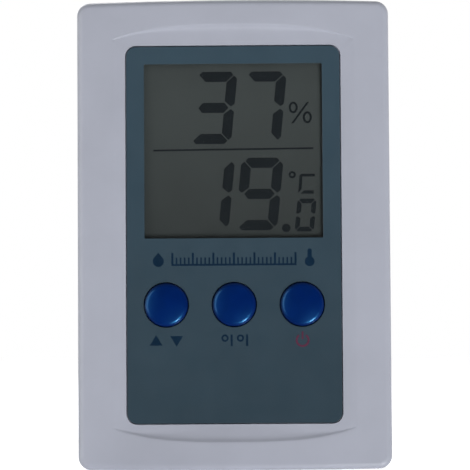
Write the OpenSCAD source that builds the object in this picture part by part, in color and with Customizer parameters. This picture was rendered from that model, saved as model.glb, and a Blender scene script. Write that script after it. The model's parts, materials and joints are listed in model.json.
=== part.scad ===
// Desktop and wall thermo-hygrometer: a moulded two-part housing with a liquid crystal display,
// three push buttons, a battery bay with a clip-in door, a keyhole and a fold-out desk stand.
// The depth y runs from the crown of the front face, at 0, to the flat back. Heights z run from
// the flat that the housing stands on. centred() moves the whole to the middle of its own depth.

/* [Housing] */
// Width, seen from the front
body_w = 73.4; // [70:0.2:90]
// Height from the standing flat to the crest of the bowed top edge
body_h = 110.2; // [106:0.2:130]
// Depth from the crown of the front face to the flat back
body_d = 20; // [19.5:0.5:26]
// Outward bow of the top and bottom edges
edge_bow = 0.3; // [0.2:0.05:1.2]
// Depth of the standing flat, cut from the bowed bottom edge
foot_cut = 0.12; // [0.06:0.01:0.2]
// Corner radius, seen from the front
corner_r = 3; // [2.5:0.5:5]
// Radius that rounds the front edge
front_edge_r = 1.6; // [0.8:0.1:2]
// Radius that rounds the back edge
back_edge_r = 2; // [0.8:0.1:2.2]
// How far the crowned front face falls away at the sides
crown_drop = 2; // [1.5:0.1:2.5]
// Thickness of the moulded walls
wall = 1.8; // [1.5:0.1:2.1]
// Depth of the front housing, where the two housings meet
split_y = 10; // [9.5:0.1:10.5]
// Height of the lip that locates one housing in the other
lip_h = 1.2; // [0.8:0.1:1.5]
// Chamfer that opens the parting line
parting_chamfer = 0.25; // [0.1:0.05:0.4]

/* [Front recess] */
// Depth of the flat recess below the crown
floor_depth = 1.2; // [0.9:0.1:1.4]
// Thickness of the wall behind the recess
front_wall = 2; // [1.8:0.1:2.4]
// Radius of the concave scoop over the fascia
top_scoop_r = 6.9; // [4:0.1:7.5]
// Radius of the concave scoop under the fascia
bottom_scoop_r = 4.9; // [4:0.1:7.5]
// Flat margin between the fascia and each scoop
scoop_margin = 0.95; // [0.8:0.05:1.5]

/* [Fascia] */
// Width of the fascia panel
fascia_w = 50.1; // [48:0.1:53]
// Height of the fascia panel
fascia_h = 88.3; // [86:0.1:90]
// Corner radius of the fascia panel
fascia_r = 2.3; // [1:0.1:4]
// Thickness of the fascia panel
fascia_t = 0.5; // [0.4:0.05:0.6]
// How far the fascia stands out of the recess
fascia_proud = 0.1; // [0:0.05:0.2]
// Width of the shadow groove round the fascia
groove_w = 0.25; // [0.2:0.05:0.6]
// Depth of the shadow groove below the recess
groove_depth = 0.9; // [0.6:0.1:1.1]

/* [Display] */
// Width of the window in the fascia
window_w = 41.8; // [38:0.2:43]
// Height of the window in the fascia
window_h = 41; // [38:0.2:42]
// Distance from the top of the fascia to the window
window_margin = 4.1; // [3.8:0.1:4.6]
// Thickness of the clear window lens
lens_t = 0.5; // [0.4:0.05:0.6]
// Thickness of the ledge that carries the lens
ledge_t = 0.5; // [0.4:0.05:0.6]
// Thickness of each display glass
glass_t = 0.8; // [0.7:0.05:1]
// Thickness of each polarizer film
film_t = 0.2; // [0.15:0.05:0.3]
// Width of the contact ledge of the front glass, above and below
contact_ledge = 2.8; // [2.6:0.1:3.2]
// Thickness of the frame round the display
holder_wall = 1.6; // [1.2:0.1:1.8]
// Thickness of the plate behind the display
holder_plate = 1.2; // [0.8:0.1:1.5]

/* [Buttons] */
// Diameter of the button caps
button_d = 10.2; // [9:0.1:10.8]
// Distance between neighbouring buttons
button_pitch = 15.9; // [15.4:0.1:16.6]
// Distance from the window down to the line of the buttons
button_drop = 15.55; // [14:0.05:17]
// Height of a cap's crest above the fascia
button_rise = 1.6; // [1.2:0.1:2]
// Height of the domed top of a cap
button_dome = 0.7; // [0.4:0.05:0.9]
// Radius that rounds the rim of a cap
button_edge_r = 0.6; // [0.3:0.05:0.8]
// Gap round a cap in the housing
button_gap = 0.2; // [0.15:0.05:0.3]
// Gap round a cap in the fascia
rim_gap = 0.2; // [0.15:0.05:0.6]
// Free travel of a button
button_travel = 0.5; // [0.3:0.05:0.6]
// Width of the flange that keeps a cap in the housing
flange_w = 1.1; // [0.8:0.1:1.3]
// Thickness of that flange
flange_t = 0.8; // [0.6:0.1:1]

/* [Circuit board] */
// Width of the board
board_w = 62; // [60:0.5:64]
// Thickness of the board
board_t = 1.6; // [1:0.1:1.8]
// Length of the posts that carry the board
board_standoff = 6.2; // [6:0.1:6.4]
// Distance of the board's screws from the middle
board_screw_x = 28; // [27.5:0.1:28.5]
// Width of a push switch
switch_w = 6; // [5.5:0.1:6.5]
// Height of a push switch
switch_h = 3.5; // [3.3:0.1:3.6]
// Thickness of a push switch's steel cover
switch_cover_t = 0.3; // [0.2:0.05:0.4]
// Diameter of a push switch's plunger
plunger_d = 3.5; // [3:0.1:3.8]
// Height of a plunger above its switch
plunger_rise = 0.8; // [0.7:0.05:0.9]

/* [Battery] */
// Diameter of the cell
cell_d = 10.5; // [10:0.1:10.6]
// Length of the cell with its nub
cell_l = 44.5; // [44:0.1:45]
// Height of the cell's axis
cell_z = 18.2; // [17.8:0.1:18.6]
// Length of the spring at the cell's flat end
spring_l = 3.9; // [3.5:0.1:4.2]
// Thickness of the contact plates
contact_t = 0.3; // [0.2:0.05:0.4]
// Room round the cell
cell_gap = 0.35; // [0.2:0.05:0.5]
// Thickness of the walls of the bay
bay_wall = 1.2; // [1:0.1:1.4]
// Thickness of the battery door
door_t = 1.6; // [1.3:0.1:1.8]
// Width of the seat for the door at the ends of the bay
door_seat_x = 1.4; // [1.2:0.1:2]
// Width of the seat for the door above and below the bay
door_seat_z = 2.4; // [2.2:0.1:2.6]
// Gap round the door
door_gap = 0.3; // [0.25:0.05:0.4]

/* [Stand and wall fixing] */
// Width of the fold-out leg
stand_w = 26; // [22:0.5:30]
// Length of the leg from its pivot
stand_l = 41; // [36:0.5:42]
// Thickness of the leg
stand_t = 2.2; // [2:0.1:2.4]
// Height of the pivot above the top of the battery door
stand_rise = 7.4; // [7:0.1:8]
// Radius of the barrel at the pivot
barrel_r = 1.5; // [1.4:0.1:1.6]
// Diameter of the pivot pins
pivot_d = 2; // [1.6:0.1:2.2]
// Gap round the leg
stand_gap = 0.35; // [0.3:0.05:0.5]
// Diameter of the keyhole's entry
keyhole_d = 7.5; // [7:0.1:8]
// Width of the keyhole's slot
keyhole_slot = 3.8; // [3.4:0.1:4]
// Distance from the entry up to the end of the slot
keyhole_l = 6.5; // [6:0.1:7]
// Distance from the keyhole's entry to the top of the housing
keyhole_drop = 17.5; // [17:0.1:19]

/* [Vents and sensors] */
// Number of vent slots in each group
vent_count = 5; // [3:1:5]
// Width of a vent slot
vent_w = 1.6; // [1.2:0.1:2]
// Height of a vent slot
vent_h = 12; // [8:0.5:14]
// Distance between neighbouring vent slots
vent_pitch = 3.2; // [2.8:0.1:3.2]
// Distance from the middle of the back to the middle of a group of vents
vent_x = 19; // [18.5:0.1:19.5]
// Width of the humidity sensor
sensor_w = 9; // [8:0.5:10]
// Height of the humidity sensor
sensor_h = 12; // [10:0.5:12.5]
// Depth of the humidity sensor
sensor_t = 4; // [3.6:0.1:4.2]
// Diameter of the thermistor bead
bead_d = 2.4; // [2:0.1:3]

/* [Screws] */
// Diameter of the housing screws
screw_d = 2.6; // [2.4:0.1:2.8]
// Length of the housing screws under the head
screw_l = 10; // [9:0.5:10.5]
// Diameter of the screw heads
head_d = 5; // [4.6:0.1:5]
// Thickness of the screw heads
head_t = 1.8; // [1.5:0.1:2]
// Diameter of the board screws
board_screw_d = 2; // [1.8:0.1:2.2]
// Length of the board screws under the head
board_screw_l = 6; // [5:0.5:6.5]

/* [Hidden] */
$fn = 64;

// Colours
shell_colour = "#eceaf0";
fascia_colour = "#56707c";
button_colour = "#0a2f86";
steel_colour = "#b9bcc0";
board_colour = "#2c6b45";

// Small clearances and steps
play = 0.05;
fit_gap = 0.3;
merge = 0.4;
past = 1;
arc_steps = 8;
crest_steps = 16;

// Housing, front to back
face_y = floor_depth - fascia_proud;
pocket_y = face_y + fascia_t;
ledge_y = pocket_y + lens_t;
glass_y = ledge_y + ledge_t;
inner_y = floor_depth + front_wall;
board_y = inner_y + board_standoff;
board_back_y = board_y + board_t;
back_inner_y = body_d - wall;
cap_y = face_y - button_rise;
centre_shift = -(body_d + min(0, cap_y)) / 2;

// Outline of the housing
half_h = (body_h + foot_cut) / 2;
mid_z = body_h - half_h;
bow_r = (pow(body_w / 2, 2) + pow(edge_bow, 2)) / (2 * edge_bow);
corner_x = body_w / 2 - corner_r;
corner_z = half_h - bow_r + sqrt(pow(bow_r - corner_r, 2) - pow(corner_x, 2));
corner_turn = asin(corner_x / (bow_r - corner_r));
crown_r = (pow(body_w / 2, 2) + pow(crown_drop, 2)) / (2 * crown_drop);
lip_t = wall / 2 - play;

// Fascia and display
fascia_z = body_h / 2;
fascia_top = fascia_z + fascia_h / 2;
window_z = fascia_top - window_margin - window_h / 2;
film_w = window_w + 1;
film_h = window_h + 1;
ledge_lap = 0.2;
lens_lap = 1.8;
glass_w = window_w + 3.4;
rear_glass_h = window_h + 2.4;
glass_h = rear_glass_h + 2 * contact_ledge;
rear_film_w = glass_w - 1.6;
rear_glass_y = glass_y + glass_t;
rear_film_y = rear_glass_y + glass_t;
plate_y = rear_film_y + film_t + play;
holder_w = glass_w + 2 * (fit_gap + holder_wall);
holder_h = glass_h + 2 * (fit_gap + holder_wall);
zebra_w = glass_w - 1.2;
zebra_t = 2;
zebra_z = rear_glass_h / 2 + fit_gap + zebra_t / 2;
holder_pin_d = 1.2;

// Buttons and switches
button_z = window_z - window_h / 2 - button_drop;
button_x = [-button_pitch, 0, button_pitch];
flange_r = button_d / 2 + flange_w;
flange_y = inner_y + 0.15;
plunger_y = board_y - switch_h - plunger_rise;
plunger_end_y = board_y - switch_h + switch_cover_t + 1;
stem_r = plunger_d / 2;
cap_wall = 1.2;
collar_gap = 0.4;
collar_wall = 0.9;

// Circuit board
board_bottom = button_z - 8.2;
board_top = window_z + holder_h / 2 + 1.6;
post_r = 3.3;
post_x = body_w / 2 - 5.9;
post_low = 7.2;
post_high = body_h - 7.4;
board_neck_x = min(board_w / 2, post_x - post_r - 2 * fit_gap);
board_neck_z = post_high - post_r - 2 * fit_gap;
board_screw_z = [button_z + 7.4, window_z + 16.6];
board_post_r = 2.4;
board_head_r = 1.9;
board_head_t = 1.2;
terminal_x = 2.4;
terminal_z = 2.25;
terminal_r = 0.35;
terminal_root = 0.9;
terminal_tail = 0.8;
pin_r = 0.25;
pin_end = 0.6;
blob_r = 6;
blob_h = 1.6;
crystal_x = -15;
crystal_z = window_z - 12;
crystal_r = 1;
crystal_l = 6;
bulk_r = 2.5;
bulk_l = 7;
bulk_x = stand_w / 2 + 4;
bulk_z = board_bottom + 3.4;
chip_x = 8;
chip_z = window_z - 8;
chip_pitch = 4;
capacitor_size = [1.6, 0.8, 0.8];
resistor_size = [1.6, 0.5, 0.8];
sensor_stand = 0.6;

// Battery bay and door
cell_r = cell_d / 2;
bay_r = cell_r + cell_gap;
cell_y = body_d - door_t - cell_gap - cell_r;
bay_x = (cell_l + spring_l + 2 * contact_t) / 2;
nub_r = 1.9;
nub_l = 0.9;
seat_y = body_d - door_t;
seat_t = 1.4;
door_w = 2 * (bay_x + door_seat_x);
door_h = 2 * (bay_r + door_seat_z);
door_r = 1.5;
door_bottom = cell_z - door_h / 2;
door_top = cell_z + door_h / 2;
tongue_x = 17;
tongue_w = 6;
tongue_t = 1;
tongue_l = 1.4;
latch_w = 10;
latch_slot = 0.9;
latch_l = 6;
notch_r = 6;
nose = 0.15;
contact_half = bay_r * 0.68;
tab_w = 3;
tab_l = 1.7;
tab_z = cell_z + contact_half - 0.8;
tab_y = cell_y + 0.25;
spring_wire = 0.6;
spring_turns = 3;
lead_r = 0.6;
lead_x = bay_x + bay_wall + lead_r + 0.3;
lead_bend = 1.5;
lead_pad_z = board_bottom + 4.5;

// Stand, keyhole and vents
barrel_y = body_d - 0.1 - barrel_r;
stand_z = door_top + stand_rise;
stand_tip = stand_z + stand_l;
stand_r = 2;
heel_room = barrel_r * 2.2;
leg_y = body_d - 0.1 - stand_t;
leg_floor_y = leg_y - fit_gap;
barrel_floor_y = barrel_y - barrel_r - fit_gap;
pin_l = 1.2;
stand_side = 1.8;
keyhole_z = body_h - keyhole_drop;
keyhole_room = 3.2;
keyhole_wall = 1.2;
vent_z = keyhole_z - 1.5;

// Screws
screw_grip = 4.5;
shoulder_y = split_y - screw_grip + screw_l;
counterbore_r = head_d / 2 + fit_gap;

// Points along an arc in a plane
function arc(centre, r, from, to, steps = arc_steps) =
    [for (i = [0 : steps]) let (a = from + (to - from) * i / steps) centre + r * [cos(a), sin(a)]];

// A rectangle with round corners
function round_rect(w, h, r) = concat(
    arc([w / 2 - r, h / 2 - r], r, 0, 90), arc([r - w / 2, h / 2 - r], r, 90, 180),
    arc([r - w / 2, r - h / 2], r, 180, 270), arc([w / 2 - r, r - h / 2], r, 270, 360));

// An upright strip with round ends
function slot_shape(w, h) =
    concat(arc([0, (h - w) / 2], w / 2, 0, 180), arc([0, (w - h) / 2], w / 2, 180, 360));

// A rectangle from z0 to z1 whose two upper corners are round
function tongue_shape(w, z0, z1, r) = concat(
    [[-w / 2, z0], [w / 2, z0]], arc([w / 2 - r, z1 - r], r, 0, 90), arc([r - w / 2, z1 - r], r, 90, 180));

// One quarter of the bowed outline, from the side to the crest, drawn in by inset
function outline_quarter(inset) = concat(
    arc([corner_x, corner_z], corner_r - inset, 0, 90 - corner_turn),
    [for (i = [1 : crest_steps]) let (a = corner_turn * (1 - i / crest_steps))
        [(bow_r - inset) * sin(a), half_h - bow_r + (bow_r - inset) * cos(a)]]);

// The whole outline of the housing round its middle
function outline(inset) =
    let (q = outline_quarter(inset), n = len(q))
    concat(q, [for (i = [n - 2 : -1 : 0]) [-q[i].x, q[i].y]],
        [for (p = q) [-p.x, -p.y]], [for (i = [n - 2 : -1 : 0]) [q[i].x, -q[i].y]]);

// Fall of the crowned front face at a distance x from the middle
function crown(x) = crown_r - sqrt(pow(crown_r, 2) - pow(x, 2));

// The outline set in space at depth y, following the crown by a share of 1 or 0
function outline_ring(inset, y, crowned = 0) =
    [for (p = outline(inset)) [p.x, y + crowned * crown(p.x), p.y + mid_z]];

// The concave curve of a scoop in the side view, from its start on the recess floor outwards
function scoop_curve(z, r, side) =
    let (turn = acos(1 - (floor_depth + past) / r))
    [for (i = [0 : arc_steps * 2]) let (a = turn * i / (arc_steps * 2))
        [floor_depth - r * (1 - cos(a)), z + side * r * sin(a)]];

// Placing helpers
module centred() {
    translate([0, centre_shift, 0]) children();
}

// A front-view shape, taken back from depth y by t
module slab(y, t) {
    translate([0, y + t, 0]) rotate([90, 0, 0]) linear_extrude(t) children();
}

// A side-view shape, with depth across and height up, taken along x
module bar(x, length) {
    translate([x, 0, 0]) rotate([90, 0, 90]) linear_extrude(length) children();
}

// A round rod along the depth
module rod(x, z, r, y, length) {
    translate([x, y, z]) rotate([-90, 0, 0]) cylinder(r = r, h = length);
}

// A round rod along the width
module axle(y, z, r, x, length) {
    translate([x, y, z]) rotate([0, 90, 0]) cylinder(r = r, h = length);
}

// A block between two values on each axis
module block(x, y, z) {
    translate([x[0], y[0], z[0]]) cube([x[1] - x[0], y[1] - y[0], z[1] - z[0]]);
}

// The convex solid round a list of rings
module skin(rings) {
    points = [for (ring = rings) for (p = ring) p];
    hull() polyhedron(points = points, faces = [[for (i = [0 : len(points) - 1]) i]]);
}

module both_sides() {
    children();
    mirror([1, 0, 0]) children();
}

module at_posts() {
    for (z = [post_low, post_high]) both_sides() translate([post_x, 0, z]) children();
}

module at_board_screws() {
    for (z = board_screw_z) both_sides() translate([board_screw_x, 0, z]) children();
}

module centre_plate(w, h, z, y, t, r = 0.4) {
    slab(y, t) translate([0, z]) polygon(round_rect(w, h, r));
}

// Front housing
module front_blank() {
    edge = [for (i = [0 : arc_steps]) let (a = 90 * i / arc_steps)
        outline_ring(front_edge_r * (1 - cos(a)), front_edge_r * (1 - sin(a)), 1)];
    skin(concat(edge, [outline_ring(0, split_y - parting_chamfer), outline_ring(parting_chamfer, split_y)]));
}

module recess_cutter() {
    top = scoop_curve(fascia_top + scoop_margin, top_scoop_r, 1);
    bottom = scoop_curve(fascia_top - fascia_h - scoop_margin, bottom_scoop_r, -1);
    backwards = [for (i = [len(bottom) - 1 : -1 : 0]) bottom[i]];
    bar(-body_w, 2 * body_w) polygon(concat(backwards, top));
}

module foot_cutter() {
    block([-body_w, body_w], [-past, body_d + past], [-body_h, 0]);
}

module rib_to_side(y, t) {
    block([0, body_w / 2 - wall + merge - post_x], [y, y + t], [-0.6, 0.6]);
}

module front_posts() {
    at_posts() {
        rod(0, 0, post_r, inner_y - merge, split_y - inner_y + merge);
        rib_to_side(inner_y - merge, split_y - inner_y - lip_h);
    }
    at_board_screws() rod(0, 0, board_post_r, inner_y - merge, board_y - inner_y + merge);
}

module button_collars() {
    inner = flange_r + collar_gap;
    for (x = button_x) difference() {
        rod(x, button_z, inner + collar_wall, inner_y - merge, flange_t + button_travel + merge + 0.6);
        rod(x, button_z, inner, inner_y, board_standoff);
    }
}

module front_openings() {
    centre_plate(fascia_w + 2 * groove_w, fascia_h + 2 * groove_w, fascia_z, -past, pocket_y + past,
        fascia_r + groove_w);
    slab(pocket_y - past, groove_depth - (pocket_y - floor_depth) + past) translate([0, fascia_z])
        difference() {
            polygon(round_rect(fascia_w + 2 * groove_w, fascia_h + 2 * groove_w, fascia_r + groove_w));
            polygon(round_rect(fascia_w, fascia_h, fascia_r));
        }
    centre_plate(window_w + 2 * (lens_lap + play), window_h + 2 * (lens_lap + play), window_z,
        pocket_y - past, lens_t + past);
    centre_plate(film_w + 2 * ledge_lap, film_h + 2 * ledge_lap, window_z, 0, body_d / 2);
    centre_plate(glass_w + 2 * fit_gap, glass_h + 2 * fit_gap, window_z, glass_y, inner_y);
    for (x = button_x) rod(x, button_z, button_d / 2 + button_gap, -past, body_d / 2);
    at_posts() rod(0, 0, screw_d / 2 + play, split_y - screw_grip - past / 2, screw_grip + past);
    at_board_screws()
        rod(0, 0, board_screw_d / 2 + play, board_back_y - board_screw_l - past / 2, board_screw_l + past);
}

module front_housing() {
    color(shell_colour) centred() difference() {
        union() {
            difference() {
                front_blank();
                recess_cutter();
                slab(inner_y, split_y) translate([0, mid_z]) polygon(outline(wall));
                slab(split_y - lip_h - fit_gap / 2, split_y) translate([0, mid_z])
                    polygon(outline(wall - lip_t - 2 * play));
            }
            front_posts();
            button_collars();
        }
        front_openings();
        foot_cutter();
    }
}

// Fascia and window
module fascia_panel() {
    color(fascia_colour) centred() difference() {
        centre_plate(fascia_w, fascia_h, fascia_z, face_y, fascia_t, fascia_r);
        centre_plate(window_w, window_h, window_z, face_y - past, fascia_t + 2 * past, 0.3);
        for (x = button_x) rod(x, button_z, button_d / 2 + rim_gap, face_y - past, fascia_t + 2 * past);
    }
}

module window_lens() {
    color("#dfe8ea", 0.4) centred()
        centre_plate(window_w + 2 * lens_lap, window_h + 2 * lens_lap, window_z, pocket_y, lens_t);
}

// Display stack
module lcd_front_polarizer() {
    color("#6f7671") centred() centre_plate(film_w, film_h, window_z, glass_y - film_t, film_t, 0.3);
}

module lcd_front_glass() {
    color("#a9b2ac") centred() centre_plate(glass_w, glass_h, window_z, glass_y, glass_t, 0.2);
}

module lcd_rear_glass() {
    color("#9aa39d") centred() centre_plate(glass_w, rear_glass_h, window_z, rear_glass_y, glass_t, 0.2);
}

module lcd_rear_polarizer() {
    color("#7d847f") centred()
        centre_plate(rear_film_w, rear_glass_h - 1, window_z, rear_film_y, film_t, 0.3);
}

module at_holder_pins() {
    for (z = [-1, 1], x = [-1, 1])
        translate([x * (holder_w - holder_wall) / 2, 0, window_z + z * (holder_h - holder_wall) / 2])
            children();
}

module lcd_holder() {
    room_y = plate_y + holder_plate;
    color("#f4f4f1") centred() difference() {
        union() {
            centre_plate(holder_w, holder_h, window_z, inner_y, board_y - inner_y, 1);
            at_holder_pins() rod(0, 0, holder_pin_d / 2, board_y - merge, board_t + merge + 0.3);
        }
        centre_plate(glass_w + 2 * fit_gap, glass_h + 2 * fit_gap, window_z, glass_y, glass_t);
        centre_plate(glass_w + 2 * fit_gap, 2 * zebra_z + zebra_t + 2 * play, window_z, rear_glass_y,
            plate_y - rear_glass_y);
        for (side = [-1, 1])
            centre_plate(zebra_w + 2 * play, zebra_t + 2 * play, window_z + side * zebra_z, plate_y - merge,
                board_y, 0.2);
        centre_plate(glass_w - 2 * holder_wall, rear_glass_h - 2 * holder_wall, window_z, room_y, board_y, 1);
    }
}

module zebra_strip(side) {
    color("#2b2b2d") centred()
        centre_plate(zebra_w, zebra_t, window_z + side * zebra_z, rear_glass_y, board_y - rear_glass_y, 0.2);
}

module zebra_strip_upper() {
    zebra_strip(1);
}

module zebra_strip_lower() {
    zebra_strip(-1);
}

// Button caps: a domed shell with a rounded rim, a retaining flange and a stem
function cap_profile() =
    let (r = button_d / 2, rim = r - button_edge_r,
        dome_r = (rim * rim + button_dome * button_dome) / (2 * button_dome), dome_turn = asin(rim / dome_r))
    concat(
        arc([0, dome_r], dome_r, -90, dome_turn - 90),
        [for (i = [1 : arc_steps]) let (a = 90 * i / arc_steps)
            [rim + button_edge_r * sin(a), button_dome + button_edge_r * (1 - cos(a))]],
        [[r, flange_y - cap_y], [flange_r, flange_y - cap_y], [flange_r, flange_y - cap_y + flange_t],
            [r - cap_wall, flange_y - cap_y + flange_t], [r - cap_wall, button_dome + 2 * cap_wall],
            [stem_r, button_dome + 2 * cap_wall], [stem_r, plunger_y - cap_y], [0, plunger_y - cap_y]]);

module button_cap(i) {
    color(button_colour) centred() translate([button_x[i], cap_y, button_z]) rotate([-90, 0, 0])
        rotate_extrude() polygon(cap_profile());
}

module button_max_min() {
    button_cap(0);
}

module button_units() {
    button_cap(1);
}

module button_power() {
    button_cap(2);
}

// Push switches: plunger, steel cover, base and the terminals through the board
module switch_plunger(i) {
    color("#26262a") centred()
        rod(button_x[i], button_z, plunger_d / 2, plunger_y, plunger_end_y - plunger_y);
}

module switch_cover(i) {
    color(steel_colour) centred() difference() {
        translate([button_x[i], 0, 0])
            centre_plate(switch_w, switch_w, button_z, board_y - switch_h, switch_cover_t, 0.3);
        rod(button_x[i], button_z, plunger_d / 2 + button_gap, 0, board_y);
    }
}

module switch_base(i) {
    color("#1e1e20") centred() difference() {
        translate([button_x[i], 0, 0]) centre_plate(switch_w, switch_w, button_z,
            board_y - switch_h + switch_cover_t, switch_h - switch_cover_t, 0.3);
        rod(button_x[i], button_z, plunger_d / 2 + button_gap, 0, plunger_end_y + button_travel + 0.15);
        for (x = [-1, 1], z = [-1, 1])
            rod(button_x[i] + x * terminal_x, button_z + z * terminal_z, terminal_r + play,
                board_y - terminal_root - play, 2 * terminal_root);
    }
}

module switch_terminals() {
    color(steel_colour) centred() for (bx = button_x, x = [-1, 1], z = [-1, 1])
        rod(bx + x * terminal_x, button_z + z * terminal_z, terminal_r, board_y - terminal_root,
            board_t + terminal_root + terminal_tail);
}

module switch_plunger_max_min() {
    switch_plunger(0);
}

module switch_plunger_units() {
    switch_plunger(1);
}

module switch_plunger_power() {
    switch_plunger(2);
}

module switch_cover_max_min() {
    switch_cover(0);
}

module switch_cover_units() {
    switch_cover(1);
}

module switch_cover_power() {
    switch_cover(2);
}

module switch_base_max_min() {
    switch_base(0);
}

module switch_base_units() {
    switch_base(1);
}

module switch_base_power() {
    switch_base(2);
}

// Circuit board and what it carries on its back
module circuit_board() {
    half_w = board_w / 2;
    side = [[half_w, board_bottom], [half_w, board_neck_z], [board_neck_x, board_neck_z],
        [board_neck_x, board_top]];
    other_side = [for (i = [len(side) - 1 : -1 : 0]) [-side[i].x, side[i].y]];
    color(board_colour) centred() difference() {
        slab(board_y, board_t) polygon(concat(side, other_side));
        at_board_screws() rod(0, 0, board_screw_d / 2 + 2 * play, 0, body_d);
        at_holder_pins() rod(0, 0, holder_pin_d / 2 + play, 0, body_d);
        for (bx = button_x, x = [-1, 1], z = [-1, 1])
            rod(bx + x * terminal_x, button_z + z * terminal_z, terminal_r + play, 0, body_d);
        at_humidity_leads() rod(0, 0, pin_r + play, 0, body_d);
        at_thermistor_leads() rod(0, 0, pin_r + play, 0, body_d);
        at_bulk_leads() rod(0, 0, pin_r + play, 0, body_d);
        at_crystal_leads() rod(0, 0, pin_r + play, 0, body_d);
    }
}

module controller_blob() {
    ball_r = (blob_r * blob_r + blob_h * blob_h) / (2 * blob_h);
    dome = arc([0, blob_h - ball_r], ball_r, 90 - asin(blob_r / ball_r), 90);
    color("#141416") centred() translate([0, board_back_y, window_z]) rotate([-90, 0, 0])
        rotate_extrude() polygon(concat([[0, 0]], dome));
}

module at_crystal_leads() {
    for (z = [-0.35, 0.35]) translate([crystal_x - 1.2, 0, crystal_z + z]) children();
}

module clock_crystal() {
    can_y = board_back_y + crystal_r + play;
    color(steel_colour) centred() {
        axle(can_y, crystal_z, crystal_r, crystal_x, crystal_l);
        at_crystal_leads() {
            rod(0, 0, 0.15, board_y - pin_end, can_y - board_y + pin_end);
            axle(can_y, 0, 0.15, 0, 1.4);
            translate([0, can_y, 0]) sphere(r = 0.15);
        }
    }
}

module at_bulk_leads() {
    for (z = [-1, 1]) translate([bulk_x - 1.5, 0, bulk_z + z]) children();
}

module bulk_capacitor() {
    can_y = board_back_y + bulk_r + play;
    color("#2a3350") centred() {
        axle(can_y, bulk_z, bulk_r, bulk_x, bulk_l);
        at_bulk_leads() {
            rod(0, 0, pin_r, board_y - pin_end, can_y - board_y + pin_end);
            axle(can_y, 0, pin_r, 0, 2);
            translate([0, can_y, 0]) sphere(r = pin_r);
        }
    }
}

// Small chips in two columns, one chip in each row and column
module chips(rows, x, z, size) {
    for (row = [0 : rows - 1], column = [0, 1])
        translate([x + column * chip_pitch, board_back_y, z + row * chip_pitch]) cube(size);
}

module chip_capacitors() {
    color("#b08d62") centred() chips(3, chip_x, chip_z, capacitor_size);
}

module chip_resistors() {
    color("#18181a") centred() chips(4, -chip_x - 2 * chip_pitch, chip_z + chip_pitch / 2, resistor_size);
}

// The thermistor and the humidity sensor stand behind the vents
module at_thermistor_leads() {
    for (z = [-0.6, 0.6]) translate([-vent_x, 0, vent_z + z]) children();
}

module thermistor() {
    bead_y = board_back_y + 4;
    color("#30302c") centred() {
        translate([-vent_x, bead_y, vent_z]) sphere(r = bead_d / 2);
        at_thermistor_leads() rod(0, 0, 0.2, board_y - pin_end, bead_y - board_y + pin_end);
    }
}

module at_humidity_leads() {
    for (x = [-1.27, 1.27]) translate([vent_x + x, 0, vent_z - sensor_h / 2 + 1.6]) children();
}

module humidity_case() {
    case_y = board_back_y + sensor_stand;
    color("#f3f3ee") centred() difference() {
        translate([vent_x, 0, 0]) centre_plate(sensor_w, sensor_h, vent_z, case_y, sensor_t, 0.8);
        translate([vent_x, 0, 0])
            centre_plate(sensor_w - 1.6, sensor_h - 1.6, vent_z, case_y + 0.8, sensor_t - 1.6, 0.4);
        for (i = [-2 : 2])
            block([vent_x - sensor_w / 2 + 1.6, vent_x + sensor_w / 2 - 1.6],
                [case_y + sensor_t - 1.2, case_y + sensor_t + past],
                [vent_z + 1.8 * i - 0.5, vent_z + 1.8 * i + 0.5]);
        at_humidity_leads() rod(0, 0, pin_r + play, 0, case_y + 1.2);
    }
}

module humidity_element() {
    element_y = board_back_y + sensor_stand + 1.3;
    color("#d9c9a4") centred() {
        translate([vent_x, 0, 0]) centre_plate(sensor_w - 2, sensor_h - 2, vent_z, element_y, 0.6, 0.2);
        at_humidity_leads() rod(0, 0, pin_r, board_y - pin_end, element_y - board_y + pin_end + merge);
    }
}

// Screws with a cross recess
module screw(d, length, head_r, head, recess) {
    difference() {
        union() {
            rod(0, 0, d / 2, -length, length);
            rod(0, 0, head_r, 0, head);
        }
        block([-recess, recess], [head - 0.7, head + past], [-0.3, 0.3]);
        block([-0.3, 0.3], [head - 0.7, head + past], [-recess, recess]);
    }
}

module board_screws() {
    color(steel_colour) centred() at_board_screws() translate([0, board_back_y, 0])
        screw(board_screw_d, board_screw_l, board_head_r, board_head_t, 1.1);
}

module housing_screws() {
    color(steel_colour) centred() at_posts() translate([0, shoulder_y, 0])
        screw(screw_d, screw_l, head_d / 2, head_t, 1.5);
}

// Cell, contacts and leads
module battery_cell() {
    color("#c9a23a") centred() {
        axle(cell_y, cell_z, cell_r, bay_x - contact_t - cell_l, cell_l - nub_l);
        axle(cell_y, cell_z, nub_r, bay_x - contact_t - nub_l - merge, nub_l + merge);
    }
}

// A contact plate at the right-hand end of the bay, with the tab that its lead is soldered to
module contact() {
    block([bay_x - contact_t, bay_x], [cell_y - contact_half, cell_y + contact_half],
        [cell_z - contact_half, cell_z + contact_half]);
    block([bay_x - contact_t, bay_x + bay_wall + tab_l], [tab_y, tab_y + tab_w], [tab_z, tab_z + contact_t]);
}

module positive_contact() {
    color(steel_colour) centred() contact();
}

module negative_contact() {
    color(steel_colour) centred() mirror([1, 0, 0]) contact();
}

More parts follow.
